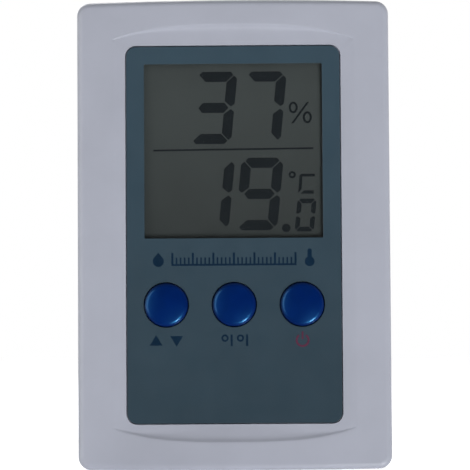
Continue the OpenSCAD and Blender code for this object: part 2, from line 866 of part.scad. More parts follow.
// A conical spring between the negative contact and the flat end of the cell
module negative_spring() {
    sides = 6;
    steps = 24;
    rings = spring_turns * steps;
    start_x = contact_t - bay_x + spring_wire / 2;
    rise = spring_l - spring_wire;
    function coil_r(t) = contact_half - spring_wire - 1.2 * t;
    function coil_point(t) = [start_x + rise * t, coil_r(t) * cos(360 * spring_turns * t),
        coil_r(t) * sin(360 * spring_turns * t)];
    points = [for (i = [0 : rings], k = [0 : sides - 1])
        let (t = i / rings, turn = 360 * spring_turns * t, a = 360 * k / sides, r = spring_wire / 2)
        coil_point(t) + [r * cos(a), r * sin(a) * cos(turn), r * sin(a) * sin(turn)]];
    walls = [for (i = [0 : rings - 1], k = [0 : sides - 1])
        let (a = i * sides + k, b = i * sides + (k + 1) % sides)
        each [[a, b, b + sides], [a, b + sides, a + sides]]];
    caps = [[for (k = [sides - 1 : -1 : 0]) k], [for (k = [0 : sides - 1]) rings * sides + k]];
    color(steel_colour) centred() translate([0, cell_y, cell_z])
        polyhedron(points = points, faces = concat(walls, caps));
}

// A lead from the tab of a contact up to its pad on the board
module lead() {
    lead_y = tab_y + tab_w / 2;
    from_z = tab_z + contact_t;
    bend_z = lead_pad_z - lead_bend;
    translate([lead_x, lead_y, from_z]) cylinder(r = lead_r, h = bend_z - from_z);
    translate([lead_x, lead_y - lead_bend, bend_z]) rotate([90, 0, 90]) rotate_extrude(angle = 90)
        translate([lead_bend, 0]) circle(r = lead_r);
    rod(lead_x, lead_pad_z, lead_r, board_back_y, lead_y - lead_bend - board_back_y);
}

module positive_lead() {
    color("#b3261f") centred() lead();
}

module negative_lead() {
    color("#202022") centred() mirror([1, 0, 0]) lead();
}

// Rear housing
module rear_blank() {
    edge = [for (i = [0 : arc_steps]) let (a = 90 * i / arc_steps)
        outline_ring(back_edge_r * (1 - cos(a)), body_d - back_edge_r * (1 - sin(a)))];
    skin(concat([outline_ring(parting_chamfer, split_y), outline_ring(0, split_y + parting_chamfer)], edge));
}

// The bay in the side view: a half round under the cell, open at the back
function bay_shape(r, back) =
    concat(arc([cell_y, cell_z], r, 90, 270, arc_steps * 2), [[back, cell_z - r], [back, cell_z + r]]);

module battery_bay() {
    length = 2 * (bay_x + bay_wall);
    bar(-length / 2, length) polygon(bay_shape(bay_r + bay_wall, back_inner_y + merge));
    centre_plate(door_w + 2 * (door_gap + bay_wall), door_h + 2 * (door_gap + bay_wall), cell_z,
        seat_y - seat_t, seat_t + merge, door_r + door_gap + bay_wall);
}

module battery_openings() {
    bar(-bay_x, 2 * bay_x) polygon(bay_shape(bay_r, body_d));
    centre_plate(door_w + 2 * door_gap, door_h + 2 * door_gap, cell_z, seat_y, door_t + past,
        door_r + door_gap);
    both_sides() {
        block([tongue_x - tongue_w / 2 - fit_gap, tongue_x + tongue_w / 2 + fit_gap],
            [seat_y - seat_t - past, seat_y], [door_bottom - tongue_l - 2 * fit_gap, cell_z - bay_r + 0.2]);
        block([bay_x - past, bay_x + bay_wall + past], [tab_y - play, tab_y + tab_w + play],
            [tab_z - play, tab_z + contact_t + play]);
    }
    rod(0, door_top - notch_r / 2, notch_r, body_d - 1, 2);
}

module stand_pocket() {
    w = stand_w + 2 * (stand_gap + stand_side);
    block([-w / 2, w / 2], [leg_floor_y - bay_wall, back_inner_y + merge],
        [stand_z - heel_room - stand_side, stand_tip + stand_gap + stand_side]);
    block([-w / 2, w / 2], [barrel_floor_y - bay_wall, back_inner_y],
        [stand_z - heel_room - stand_side, stand_z + heel_room + stand_side]);
}

module stand_openings() {
    w = stand_w + 2 * stand_gap;
    slab(leg_floor_y, body_d) polygon(tongue_shape(w, stand_z, stand_tip + stand_gap, stand_r + stand_gap));
    block([-w / 2, w / 2], [barrel_floor_y, body_d + past], [stand_z - heel_room, stand_z + heel_room]);
    axle(barrel_y, stand_z, pivot_d / 2 + play, -w / 2 - pin_l - play, w + 2 * pin_l + 2 * play);
    rod(0, stand_tip - notch_r / 2, notch_r, body_d - 1, 2);
}

module keyhole_box() {
    half_w = keyhole_d / 2 + 0.8;
    block([-half_w - keyhole_wall, half_w + keyhole_wall],
        [back_inner_y - keyhole_room - keyhole_wall, back_inner_y + merge],
        [keyhole_z - half_w - keyhole_wall, keyhole_z + keyhole_l + half_w]);
}

module keyhole_openings() {
    half_w = keyhole_d / 2 + 0.8;
    block([-half_w, half_w], [back_inner_y - keyhole_room, back_inner_y],
        [keyhole_z - half_w, keyhole_z + keyhole_l + half_w - keyhole_wall]);
    rod(0, keyhole_z, keyhole_d / 2, back_inner_y - past, wall + 2 * past);
    slab(back_inner_y - past, wall + 2 * past) translate([0, keyhole_z + keyhole_l / 2])
        polygon(slot_shape(keyhole_slot, keyhole_l + keyhole_slot));
}

module vents() {
    both_sides() for (i = [0 : vent_count - 1])
        slab(back_inner_y - past, wall + 2 * past)
            translate([vent_x + vent_pitch * (i - (vent_count - 1) / 2), vent_z])
                polygon(slot_shape(vent_w, vent_h));
}

module rear_housing() {
    color(shell_colour) centred() difference() {
        union() {
            difference() {
                union() {
                    rear_blank();
                    slab(split_y - lip_h, lip_h + past) translate([0, mid_z]) polygon(outline(wall - lip_t));
                }
                slab(0, back_inner_y) translate([0, mid_z]) polygon(outline(wall));
            }
            at_posts() {
                rod(0, 0, post_r, split_y, back_inner_y - split_y + merge);
                rib_to_side(split_y + lip_h, back_inner_y - split_y - lip_h + merge);
            }
            battery_bay();
            stand_pocket();
            keyhole_box();
        }
        battery_openings();
        stand_openings();
        keyhole_openings();
        vents();
        at_posts() {
            rod(0, 0, screw_d / 2 + 0.2, 0, body_d);
            rod(0, 0, counterbore_r, shoulder_y, body_d);
        }
        foot_cutter();
    }
}

// The door clips in: two tongues hook under its lower edge, a sprung finger holds its upper edge
module battery_door() {
    color(shell_colour) centred() difference() {
        union() {
            centre_plate(door_w, door_h, cell_z, seat_y, door_t, door_r);
            both_sides() {
                block([tongue_x - tongue_w / 2, tongue_x + tongue_w / 2],
                    [seat_y - 0.2 - tongue_t, seat_y + merge], [door_bottom + 0.2, door_bottom + 1.4]);
                block([tongue_x - tongue_w / 2, tongue_x + tongue_w / 2],
                    [seat_y - 0.2 - tongue_t, seat_y - 0.2], [door_bottom - tongue_l, door_bottom + 0.6]);
            }
            block([1 - latch_w / 2, latch_w / 2 - 1], [seat_y + 0.2, seat_y + 0.9],
                [door_top - past, door_top + nose]);
        }
        both_sides() block([latch_w / 2, latch_w / 2 + latch_slot], [seat_y - past, body_d + past],
            [door_top - latch_l, door_top + past]);
        for (i = [0 : 2])
            block([-latch_w / 4, latch_w / 4], [body_d - 0.3, body_d + past],
                [door_top - 2 - 1.2 * i, door_top - 1.4 - 1.2 * i]);
    }
}

// The leg in the side view: a round barrel that runs on into the flat blade
function leg_shape() =
    let (turn = 180 + acos((barrel_y - leg_y) / barrel_r))
    concat([for (i = [0 : arc_steps * 3]) let (a = -turn * i / (arc_steps * 3))
            [barrel_y + barrel_r * cos(a), stand_z + barrel_r * sin(a)]],
        [[leg_y, stand_tip], [barrel_y + barrel_r, stand_tip]]);

module stand_leg() {
    rib = 1.2;
    bay_w = (stand_w - 4 * rib) / 3;
    color(shell_colour) centred() {
        difference() {
            intersection() {
                bar(-stand_w / 2, stand_w) polygon(leg_shape());
                slab(0, body_d) polygon(tongue_shape(stand_w, 0, stand_tip, stand_r));
            }
            for (i = [-1 : 1])
                block([i * (bay_w + rib) - bay_w / 2, i * (bay_w + rib) + bay_w / 2],
                    [leg_y - past, leg_y + stand_t / 2], [stand_z + 4, stand_tip - 5]);
        }
        both_sides() axle(barrel_y, stand_z, pivot_d / 2, stand_w / 2 - merge, pin_l + merge);
    }
}

front_housing();
fascia_panel();
window_lens();
lcd_front_polarizer();
lcd_front_glass();
lcd_rear_glass();
lcd_rear_polarizer();
lcd_holder();
zebra_strip_upper();
zebra_strip_lower();
button_max_min();
button_units();
button_power();
switch_plunger_max_min();
switch_plunger_units();
switch_plunger_power();
switch_cover_max_min();
switch_cover_units();
switch_cover_power();
switch_base_max_min();
switch_base_units();
switch_base_power();
switch_terminals();
circuit_board();
controller_blob();
clock_crystal();
bulk_capacitor();
chip_capacitors();
chip_resistors();
thermistor();
humidity_case();
humidity_element();
board_screws();
battery_cell();
positive_contact();
negative_contact();
negative_spring();
positive_lead();
negative_lead();
rear_housing();
housing_screws();
battery_door();
stand_leg();
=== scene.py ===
import json
import math

import bmesh
import bpy
from mathutils import Matrix, Vector


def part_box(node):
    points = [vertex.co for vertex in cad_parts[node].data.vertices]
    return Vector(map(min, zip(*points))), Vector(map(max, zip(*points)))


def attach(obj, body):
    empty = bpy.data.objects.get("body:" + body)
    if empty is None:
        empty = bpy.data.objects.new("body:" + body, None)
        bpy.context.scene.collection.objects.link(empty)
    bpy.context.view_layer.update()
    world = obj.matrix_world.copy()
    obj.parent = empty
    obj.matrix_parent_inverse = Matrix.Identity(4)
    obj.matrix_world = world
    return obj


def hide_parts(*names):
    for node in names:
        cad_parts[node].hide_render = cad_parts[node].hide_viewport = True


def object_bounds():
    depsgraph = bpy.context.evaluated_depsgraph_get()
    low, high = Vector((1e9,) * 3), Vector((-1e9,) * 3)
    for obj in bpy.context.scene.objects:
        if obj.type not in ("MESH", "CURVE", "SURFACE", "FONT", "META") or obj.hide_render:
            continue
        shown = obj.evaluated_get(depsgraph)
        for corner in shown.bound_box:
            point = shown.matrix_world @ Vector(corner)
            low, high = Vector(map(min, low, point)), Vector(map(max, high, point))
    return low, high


mm = 0.001
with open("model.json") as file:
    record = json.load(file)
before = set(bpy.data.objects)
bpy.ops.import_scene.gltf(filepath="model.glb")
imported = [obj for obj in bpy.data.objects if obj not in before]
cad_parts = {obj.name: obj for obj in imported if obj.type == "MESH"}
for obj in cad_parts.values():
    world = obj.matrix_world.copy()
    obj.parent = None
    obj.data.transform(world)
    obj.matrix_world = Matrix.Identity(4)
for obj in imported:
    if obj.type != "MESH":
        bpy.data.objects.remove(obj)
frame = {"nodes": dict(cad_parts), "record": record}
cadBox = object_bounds()
cad = frame["nodes"]
slotOf = {part["node"]: part["material_slot"] for part in frame["record"]["subparts"]}
bodyOf = {name: body for body, names in frame["record"]["behaviour"]["bodies"].items() for name in names}
print("frame loaded with", len(cad), "CAD nodes")


# Material helpers: all patterns lie on Object coordinates, so the grains and depths are real sizes in metres

noise = {"roughness": 0.55, "range": (0.25, 0.75)}


def newMaterial(name, color, roughness, **sockets):
    material = bpy.data.materials.new(name)
    material.use_nodes = True
    shader = shaderOf(material)
    shader.inputs["Base Color"].default_value = (*color, 1)
    shader.inputs["Roughness"].default_value = roughness
    for socket, value in sockets.items():
        shader.inputs[socket].default_value = value
    return material


def shaderOf(material):
    return material.node_tree.nodes["Principled BSDF"]


def addNode(material, kind, values=None, links=None, **settings):
    node = material.node_tree.nodes.new("ShaderNode" + kind)
    for setting, value in settings.items():
        setattr(node, setting, value)
    for socket, value in (values or {}).items():
        node.inputs[socket].default_value = value
    for socket, source in (links or {}).items():
        material.node_tree.links.new(source, node.inputs[socket])
    return node


def wire(material, socket, source):
    material.node_tree.links.new(source, shaderOf(material).inputs[socket])


def place(material, stretch=(1, 1, 1)):
    coordinates = addNode(material, "TexCoord").outputs["Object"]
    return addNode(material, "Mapping", {"Scale": stretch}, {"Vector": coordinates}).outputs["Vector"]


def placePart(material, axis):
    return addNode(material, "SeparateXYZ", links={"Vector": place(material)}).outputs[axis]


def speckle(material, grain, detail, stretch=(1, 1, 1)):
    values = {"Scale": 1 / grain, "Detail": detail, "Roughness": noise["roughness"]}
    return addNode(material, "TexNoise", values, {"Vector": place(material, stretch)}).outputs["Fac"]


def mapRange(material, value, start, end, low=0.0, high=1.0):
    limits = {"From Min": start, "From Max": end, "To Min": low, "To Max": high}
    return addNode(material, "MapRange", limits, {"Value": value}).outputs["Result"]


def shades(material, factor, low, high, start=0.3, end=0.7):
    ramp = addNode(material, "ValToRGB", links={"Fac": factor})
    for element, position, color in zip(ramp.color_ramp.elements, (start, end), (low, high)):
        element.position = position
        element.color = (*color, 1)
    return ramp.outputs["Color"]


def tinted(color, factor):
    return tuple(min(1, channel * factor) for channel in color)


def mottle(material, color, spread, grain, detail):
    clouds = speckle(material, grain, detail)
    return shades(material, clouds, tinted(color, 1 - spread), tinted(color, 1 + spread))


# Painted shade: scales a colour by height, darker low down and lighter higher up, to stand in for how the
# light falls
def paintShadeByHeight(material, color, start, end, low, high):
    strength = mapRange(material, placePart(material, "Z"), start, end, low, high)
    return addNode(material, "VectorMath", links={"Vector": color, "Scale": strength},
                   operation="SCALE").outputs["Vector"]


def roughen(material, pattern, limits):
    wire(material, "Roughness", mapRange(material, pattern, *noise["range"], *limits))


def addBump(material, height, depth, strength, under=None):
    bump = addNode(material, "Bump", {"Strength": strength, "Distance": depth}, {"Height": height})
    if under:
        material.node_tree.links.new(under.outputs["Normal"], bump.inputs["Normal"])
    wire(material, "Normal", bump.outputs["Normal"])
    return bump


# Housing finish: fine moulded texture over long soft waves

shellFinish = {"color": (0.385, 0.402, 0.470), "spread": 0.04, "cloudGrain": 0.018,
               "roughness": (0.42, 0.52), "sheenGrain": 0.006,
               "waveGrain": 0.0012, "waveDepth": 0.000012, "waveStrength": 0.35,
               "textureGrain": 0.00022, "textureDepth": 0.000006, "textureStrength": 0.6}


def makeShellMaterial():
    look = shellFinish
    material = newMaterial("shellSatin", look["color"], look["roughness"][0])
    color = mottle(material, look["color"], look["spread"], look["cloudGrain"], detail=4)
    wire(material, "Base Color", color)
    roughen(material, speckle(material, look["sheenGrain"], detail=5), look["roughness"])
    longWaves = speckle(material, look["waveGrain"], detail=4)
    waves = addBump(material, longWaves, look["waveDepth"], look["waveStrength"])
    texture = speckle(material, look["textureGrain"], detail=2)
    addBump(material, texture, look["textureDepth"], look["textureStrength"], under=waves)
    return material


# Fascia finish: satin printed sheet, with painted shade that makes it a little darker towards its foot and
# lighter towards its top

fasciaFinish = {"color": (0.032, 0.060, 0.083), "spread": 0.05, "cloudGrain": 0.010,
                "roughness": (0.34, 0.44), "sheenGrain": 0.004,
                "weaveGrain": 0.00016, "weaveDepth": 0.000004, "weaveStrength": 0.6,
                "fade": (0.010, 0.100, 0.84, 1.12)}  # from height, to height, shade there and there


def makeFasciaMaterial():
    look = fasciaFinish
    material = newMaterial("fasciaSheet", look["color"], look["roughness"][0])
    color = mottle(material, look["color"], look["spread"], look["cloudGrain"], detail=5)
    # painted shade: the fascia's colour is darkened low down and lightened higher up
    wire(material, "Base Color", paintShadeByHeight(material, color, *look["fade"]))
    roughen(material, speckle(material, look["sheenGrain"], detail=4), look["roughness"])
    weave = speckle(material, look["weaveGrain"], detail=2)
    addBump(material, weave, look["weaveDepth"], look["weaveStrength"])
    return material


# Button finish: deep blue gloss with a blue sheen and a thin clear coat

buttonFinish = {"color": (0.0001, 0.0100, 0.1000), "spread": 0.1, "cloudGrain": 0.003,
                "roughness": (0.31, 0.36), "sheenGrain": 0.0012,
                "rippleGrain": 0.0009, "rippleDepth": 0.000003, "rippleStrength": 0.4,
                "gloss": {"Coat Weight": 0.10, "Coat Roughness": 0.10, "Specular IOR Level": 0.9,
                          "Specular Tint": (0.08, 0.52, 1.0, 1.0)}}


def makeButtonMaterial():
    look = buttonFinish
    material = newMaterial("buttonGloss", look["color"], look["roughness"][0], **look["gloss"])
    color = mottle(material, look["color"], look["spread"], look["cloudGrain"], detail=3)
    wire(material, "Base Color", color)
    roughen(material, speckle(material, look["sheenGrain"], detail=5), look["roughness"])
    ripples = speckle(material, look["rippleGrain"], detail=3)
    addBump(material, ripples, look["rippleDepth"], look["rippleStrength"])
    return material


# Display film: grey-green, with painted shade that makes it darker in its lower half

# the fade entry is painted shade: from height, to height, shade there and there
filmFinish = {"color": (0.052, 0.063, 0.0620), "spread": 0.06, "cloudGrain": 0.009,
              "roughness": (0.44, 0.56), "sheenGrain": 0.0004, "fade": (0.054, 0.082, 0.72, 1.08)}


def makeFilmMaterial():
    look = filmFinish
    material = newMaterial("displayFilm", look["color"], look["roughness"][0])
    color = mottle(material, look["color"], look["spread"], look["cloudGrain"], detail=5)
    # painted shade: the film's colour is darkened towards its foot
    wire(material, "Base Color", paintShadeByHeight(material, color, *look["fade"]))
    roughen(material, speckle(material, look["sheenGrain"], detail=2), look["roughness"])
    return material


# Window lens: clear and polished

lensFinish = {"color": (0.02, 0.022, 0.022), "opacity": 0.08, "roughness": (0.03, 0.08), "sheenGrain": 0.004}


def makeLensMaterial():
    material = newMaterial("clearLens", lensFinish["color"], lensFinish["roughness"][0],
                           Alpha=lensFinish["opacity"])
    roughen(material, speckle(material, lensFinish["sheenGrain"], detail=4), lensFinish["roughness"])
    return material


# Plain mouldings, rubber, resin, glass and inks: clouds four times the grain, relief under half of it

plainPattern = {"cloudRatio": 4, "reliefRatio": 0.4, "reliefStrength": 0.6}


def makePlainMaterial(name, color, roughness, grain=0.002, spread=0.08, depth=0.000004, **sockets):
    material = newMaterial(name, color, roughness[0], **sockets)
    clouds = mottle(material, color, spread, grain * plainPattern["cloudRatio"], detail=4)
    wire(material, "Base Color", clouds)
    roughen(material, speckle(material, grain, detail=4), roughness)
    relief = speckle(material, grain * plainPattern["reliefRatio"], detail=2)
    addBump(material, relief, depth, plainPattern["reliefStrength"])
    return material


# Plated metals: fine lines, drawn out along one axis where the piece was rolled or turned

metalPattern = {"lineGrain": 0.0002, "cloudGrain": 0.002, "darkest": 0.88, "lightest": 1.1,
                "lineDepth": 0.000003, "lineStrength": 0.5}


def makeMetalMaterial(name, color, roughness, stretch):
    material = newMaterial(name, color, roughness[0], Metallic=1.0)
    clouds = speckle(material, metalPattern["cloudGrain"], detail=4)
    wire(material, "Base Color", shades(material, clouds, tinted(color, metalPattern["darkest"]),
                                        tinted(color, metalPattern["lightest"])))
    lines = speckle(material, metalPattern["lineGrain"], detail=3, stretch=stretch)
    roughen(material, lines, roughness)
    addBump(material, lines, metalPattern["lineDepth"], metalPattern["lineStrength"])
    return material


# Circuit board: a green mask over paler tracks

boardFinish = {"mask": (0.022, 0.125, 0.050), "track": (0.045, 0.215, 0.085), "cellsPerMetre": 420.0,
               "stretch": (1, 1, 1.6), "trackEdge": (0.10, 0.14), "trackDepth": 0.00002,
               "trackStrength": 0.3, "roughness": (0.24, 0.36), "sheenGrain": 0.001}


def makeBoardMaterial():
    look = boardFinish
    material = newMaterial("boardMask", look["mask"], look["roughness"][0])
    cells = addNode(material, "TexVoronoi", {"Scale": look["cellsPerMetre"]},
                    {"Vector": place(material, look["stretch"])},
                    feature="DISTANCE_TO_EDGE", distance="CHEBYCHEV").outputs["Distance"]
    wire(material, "Base Color", shades(material, cells, look["track"], look["mask"], *look["trackEdge"]))
    roughen(material, speckle(material, look["sheenGrain"], detail=3), look["roughness"])
    addBump(material, cells, look["trackDepth"], look["trackStrength"])
    return material


# Cell: a black wrap with an amber band and a bare metal tip

cellFinish = {"ends": (-0.0245, 0.0247), "black": (0.012, 0.012, 0.014), "amber": (0.42, 0.25, 0.05),
              "metal": (0.55, 0.54, 0.52), "amberFrom": 0.70, "metalFrom": 0.975, "metallic": 0.6,
              "roughness": (0.18, 0.32), "sheenGrain": 0.001}


def makeCellMaterial():
    look = cellFinish
    material = newMaterial("cellWrap", look["amber"], look["roughness"][0], Metallic=look["metallic"])
    along = mapRange(material, placePart(material, "X"), *look["ends"])
    ramp = addNode(material, "ValToRGB", links={"Fac": along})
    bands = ramp.color_ramp
    bands.interpolation = "CONSTANT"
    bands.elements[0].color = (*look["black"], 1)
    bands.elements[1].position = look["amberFrom"]
    bands.elements[1].color = (*look["amber"], 1)
    bands.elements.new(look["metalFrom"]).color = (*look["metal"], 1)
    wire(material, "Base Color", ramp.outputs["Color"])
    roughen(material, speckle(material, look["sheenGrain"], detail=4), look["roughness"])
    return material


finishes = {
    "shell_white": makeShellMaterial(),
    "fascia_teal": makeFasciaMaterial(),
    "clear_lens": makeLensMaterial(),
    "lcd_film": makeFilmMaterial(),
    "lcd_glass": makePlainMaterial("displayGlass", (0.42, 0.47, 0.44), (0.03, 0.07), depth=0.0),
    "holder_white": makePlainMaterial("holderPlastic", (0.72, 0.72, 0.70), (0.42, 0.55)),
    "zebra_rubber": makePlainMaterial("stripRubber", (0.045, 0.045, 0.05), (0.6, 0.75), 0.0006, 0.3),
    "button_blue": makeButtonMaterial(),
    "black_plastic": makePlainMaterial("switchPlastic", (0.018, 0.018, 0.02), (0.38, 0.5)),
    "tinned_steel": makeMetalMaterial("tinPlate", (0.66, 0.67, 0.68), (0.22, 0.38), (1, 1, 1)),
    "nickel_steel": makeMetalMaterial("nickelPlate", (0.64, 0.62, 0.58), (0.18, 0.32), (0.2, 1, 1)),
    "zinc_steel": makeMetalMaterial("zincPlate", (0.60, 0.61, 0.63), (0.25, 0.42), (1, 0.2, 1)),
    "board_green": makeBoardMaterial(),
    "black_epoxy": makePlainMaterial("potting", (0.016, 0.016, 0.017), (0.25, 0.4), 0.0012),
    "chip_ceramic": makePlainMaterial("ceramic", (0.42, 0.31, 0.19), (0.5, 0.65), 0.0005),
    "capacitor_sleeve": makePlainMaterial("sleeve", (0.02, 0.028, 0.07), (0.2, 0.3)),
    "cell_jacket": makeCellMaterial(),
    "red_insulation": makePlainMaterial("redInsulation", (0.42, 0.018, 0.012), (0.3, 0.42)),
    "black_insulation": makePlainMaterial("blackInsulation", (0.014, 0.014, 0.014), (0.3, 0.42)),
}
for name, piece in cad.items():
    piece.data.materials.clear()
    piece.data.materials.append(finishes[slotOf[name]])
print("materials set on the CAD nodes")


# Mesh helpers

cleaning = {"mergeDistance": 1e-6, "flatAngle": 0.05, "poleDistance": 1e-7}  # metres and degrees
edgeRounding = {"segments": 2, "sharperThan": 33, "smoothBelow": 31, "flatWeight": 80}


def newObject(name, data):
    thing = bpy.data.objects.new(name, data)
    bpy.context.scene.collection.objects.link(thing)
    return thing


def finishPiece(name, shape, material, body, sharpAngle=35):
    bmesh.ops.recalc_face_normals(shape, faces=shape.faces)
    for face in shape.faces:
        face.smooth = True
    for edge in shape.edges:
        edge.smooth = len(edge.link_faces) == 2 and edge.calc_face_angle(0) < math.radians(sharpAngle)
    mesh = bpy.data.meshes.new(name)
    shape.to_mesh(mesh)
    shape.free()
    mesh.materials.append(material)
    piece = newObject(name, mesh)
    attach(piece, body)
    return piece


def mergedShape(node):
    shape = bmesh.new()
    shape.from_mesh(cad[node].data)
    bmesh.ops.remove_doubles(shape, verts=shape.verts, dist=cleaning["mergeDistance"])
    bmesh.ops.dissolve_limit(shape, angle_limit=math.radians(cleaning["flatAngle"]), verts=shape.verts,
                             edges=shape.edges)
    return shape


def dressNode(node, shape, edgeWidth=0.0):
    slotName = slotOf[node]
    piece = finishPiece(node + "Surface", shape, finishes[slotName], bodyOf[node],
                        edgeRounding["smoothBelow"])
    if edgeWidth:
        rounding = piece.modifiers.new("edges", "BEVEL")
        rounding.width = edgeWidth
        rounding.segments = edgeRounding["segments"]
        rounding.limit_method = "ANGLE"
        rounding.angle_limit = math.radians(edgeRounding["sharperThan"])
    weights = piece.modifiers.new("flats", "WEIGHTED_NORMAL")
    weights.keep_sharp = True
    weights.weight = edgeRounding["flatWeight"]
    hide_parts(node)


def thicken(shape, faces, thickness):
    grown = bmesh.ops.extrude_face_region(shape, geom=faces)
    moved = [item for item in grown["geom"] if isinstance(item, bmesh.types.BMVert)]
    bmesh.ops.translate(shape, verts=moved, vec=(0, -thickness, 0))


def addPolygon(shape, points, depth, thickness):
    corners = [shape.verts.new((x, depth, z)) for x, z in points]
    thicken(shape, [shape.faces.new(corners)], thickness)


def addBand(shape, outer, inner, depth, thickness, closed=True):
    edges = []
    for line in (outer, inner):
        verts = [shape.verts.new((x, depth, z)) for x, z in line]
        following = verts[1:] + verts[:1] if closed else verts[1:]
        edges += [shape.edges.new(pair) for pair in zip(verts, following)]
    thicken(shape, bmesh.ops.bridge_loops(shape, edges=edges)["faces"], thickness)


def ringPoints(cx, cz, rx, rz, count=32, start=0.0, turn=360.0):
    steps = count if turn >= 360 else count + 1  # an open arc has both of its ends
    angles = [math.radians(start + turn * i / count) for i in range(steps)]
    return [(cx + rx * math.cos(a), cz + rz * math.sin(a)) for a in angles]


# Housing: the outer skin of each half is laid anew as a fine surface round the CAD's own inside

housing = {"cornerRadius": 3.0 * mm, "bow": 0.3 * mm, "footCut": 0.12 * mm, "crownDrop": 2.0 * mm,
           "frontEdge": 1.6 * mm, "backEdge": 2.0 * mm, "splitDepth": 10 * mm, "partingBevel": 0.21 * mm,
           "recessDepth": 1.2 * mm, "pocketCorner": 2.55 * mm, "groove": 0.25 * mm, "seam": 0.06 * mm,
           "floorBlend": 0.15 * mm, "lipRound": 0.33 * mm, "lipSpan": 28.1 * mm, "lipSag": 3.15 * mm,
           "lipPower": 3.2, "rearRounding": 0.06 * mm}
# A scoop starts this far past the fascia, falls at slope and extra together, and eases to slope over the fade
topLip = {"reach": 4.84 * mm, "slope": 0.05, "extra": 2.40, "fade": 0.40 * mm}
bottomLip = {"reach": 4.20 * mm, "slope": 0.175, "extra": 0.98, "fade": 0.56 * mm}
meshing = {"cornerSteps": 14, "topSteps": 64, "sideSteps": 44, "edgeSteps": 10, "recessRows": 14,
           "crownRows": 10, "crowding": 1.7, "searches": 40, "probe": 0.05 * mm}
skinLimits = {"facing": 0.05, "flat": 0.999, "floorSlack": 0.01 * mm, "rimSlack": 0.02 * mm,
              "faceReach": 10 * mm, "sideReach": 0.3 * mm}

frontLow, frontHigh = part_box("front_housing")
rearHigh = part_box("rear_housing")[1]
fasciaLow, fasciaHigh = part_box("fascia_panel")
halfWidth = (frontHigh.x - frontLow.x) / 2
halfHeight = (frontHigh.z + housing["footCut"]) / 2
middleZ = frontHigh.z - halfHeight
crownRadius = (halfWidth ** 2 + housing["crownDrop"] ** 2) / (2 * housing["crownDrop"])
pocketGap = housing["groove"] + housing["seam"]
pocketHalf = ((fasciaHigh.x - fasciaLow.x) / 2 + pocketGap, (fasciaHigh.z - fasciaLow.z) / 2 + pocketGap)
pocketZ = (fasciaHigh.z + fasciaLow.z) / 2


def softened(apart, width):
    return (width - apart) ** 2 / (4 * width) if apart < width else 0


def crownDepth(x):
    return crownRadius - math.sqrt(crownRadius ** 2 - x ** 2)


def recessDepth(x, z):  # the floor, or the scoop where it is shallower
    lip = topLip if z > pocketZ else bottomLip
    past = abs(z - pocketZ) - pocketHalf[1] + housing["groove"]
    inside = lip["reach"] - housing["lipSag"] * (abs(x) / housing["lipSpan"]) ** housing["lipPower"] - past
    scoop = lip["slope"] * inside + lip["extra"] * lip["fade"] * (1 - math.exp(-inside / lip["fade"]))
    scoop += crownDepth(x) - housing["recessDepth"]
    return housing["recessDepth"] + min(scoop, 0) - softened(abs(scoop), housing["floorBlend"])


def edgeDistance(x, z):  # how far inside the outline
    across = abs(x) - halfWidth + housing["cornerRadius"]
    up = abs(z - middleZ) - halfHeight + housing["bow"] * (x / halfWidth) ** 2 + housing["cornerRadius"]
    if across > 0 or up > 0:
        return housing["cornerRadius"] - math.hypot(max(across, 0), max(up, 0))
    return housing["cornerRadius"] - max(across, up)


def roundedLoop(shape, halfX, halfZ, radius, middle, bow, depth):
    quarters = ((1, 1), (-1, 1), (-1, -1), (1, -1))
    arcs = [ringPoints(right * (halfX - radius), up * (halfZ - bow - radius), radius, radius,
                       meshing["cornerSteps"], 90 * i, 90) for i, (right, up) in enumerate(quarters)]
    verts = []
    for i, arc in enumerate(arcs):
        steps = meshing["topSteps"] if i % 2 == 0 else meshing["sideSteps"]
        start, end = Vector(arc[-1]), Vector(arcs[(i + 1) % 4][0])
        between = [start.lerp(end, step / steps) for step in range(1, steps)]
        for x, z in arc + between:
            raised = z + math.copysign(bow * (1 - (x / halfX) ** 2), z)
            verts.append(shape.verts.new((x, frontLow.y + depth(x), middle + raised)))
    return [shape.edges.new(pair) for pair in zip(verts, verts[1:] + verts[:1])]


def outlineLoop(shape, inset, depth):
    return roundedLoop(shape, halfWidth - inset, halfHeight - inset, housing["cornerRadius"] - inset, middleZ,
                       housing["bow"], depth)


def bridgeAll(shape, loops):
    for near, far in zip(loops, loops[1:]):
        bmesh.ops.bridge_loops(shape, edges=near + far)


def overlapAt(start, way, t):  # above nought in the recess, below it on the crown
    spot = start + way * t
    return recessDepth(spot.x, spot.z) - crownDepth(spot.x)


def lipPlace(start, way):
    low, high = 0.0, 1.0
    for _ in range(meshing["searches"]):
        half = (low + high) / 2
        low, high = (half, high) if overlapAt(start, way, half) > 0 else (low, half)
    return low


def rowPlace(row, lip):  # rows crowd towards the lip from both sides
    past = row - meshing["recessRows"]
    if past <= 0:
        return lip * (1 - (1 - row / meshing["recessRows"]) ** meshing["crowding"])
    return lip + (1 - lip) * (past / meshing["crownRows"]) ** meshing["crowding"]


